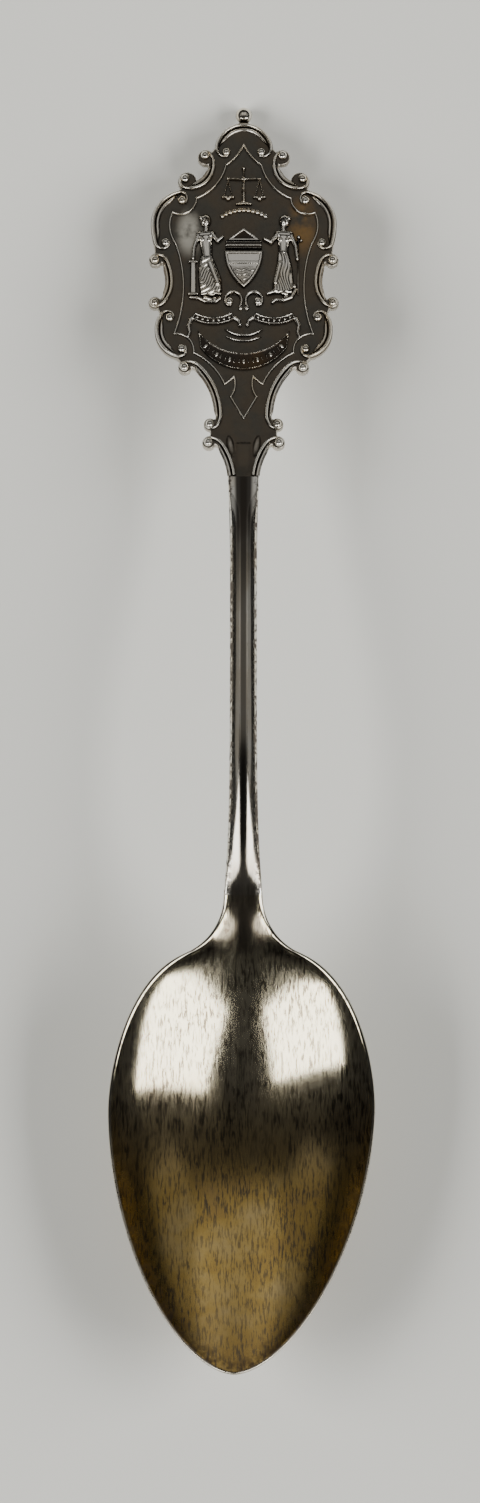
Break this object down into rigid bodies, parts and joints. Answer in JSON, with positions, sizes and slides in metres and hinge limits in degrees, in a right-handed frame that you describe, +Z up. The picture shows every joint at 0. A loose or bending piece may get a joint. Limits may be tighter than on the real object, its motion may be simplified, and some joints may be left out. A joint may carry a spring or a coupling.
{
  "type": "souvenir spoon",
  "caption": "Silver souvenir teaspoon with an egg-shaped bowl, slender stem and a scroll-bordered finial showing a shield between two draped figures.",
  "frame": {"origin": "on the table, under the middle of the spoon's bounding box", "axes": "+X to the right, +Y from the bowl's tip towards the ball at the handle's end, +Z up out of the bowl's opening"},
  "size_m": [0.0308, 0.146, 0.0143],
  "materials": {
    "bowl_silver": "polished sterling silver with fine lengthwise polish lines and a warm tarnish in its lower half",
    "stem_silver": "worn sterling silver, bright in the middle with dark specks of tarnish along the edges",
    "oxidised_silver": "sterling silver darkened brown-black in the recesses",
    "relief_silver": "raised sterling silver, rubbed bright on its tops and dark at its foot"
  },
  "bodies": {
    "root": {"bowl": "bowl_silver", "stem": "stem_silver", "finial_plate": "oxidised_silver", "top_ball": "relief_silver", "crown_scroll": "relief_silver", "ear_scrolls": "relief_silver", "shoulder_scrolls": "relief_silver", "waist_scrolls": "relief_silver", "hip_scrolls": "relief_silver", "collar_scrolls": "relief_silver", "neck_scrolls": "relief_silver", "panel_frame": "relief_silver", "balance_crest": "relief_silver", "bead_wreath": "relief_silver", "pediment": "relief_silver", "shield": "relief_silver", "left_supporter": "relief_silver", "right_supporter": "relief_silver", "shield_scrolls": "relief_silver", "motto_ribbons": "relief_silver", "base_crescents": "relief_silver", "name_ribbon": "relief_silver"}
  },
  "joints": []
}
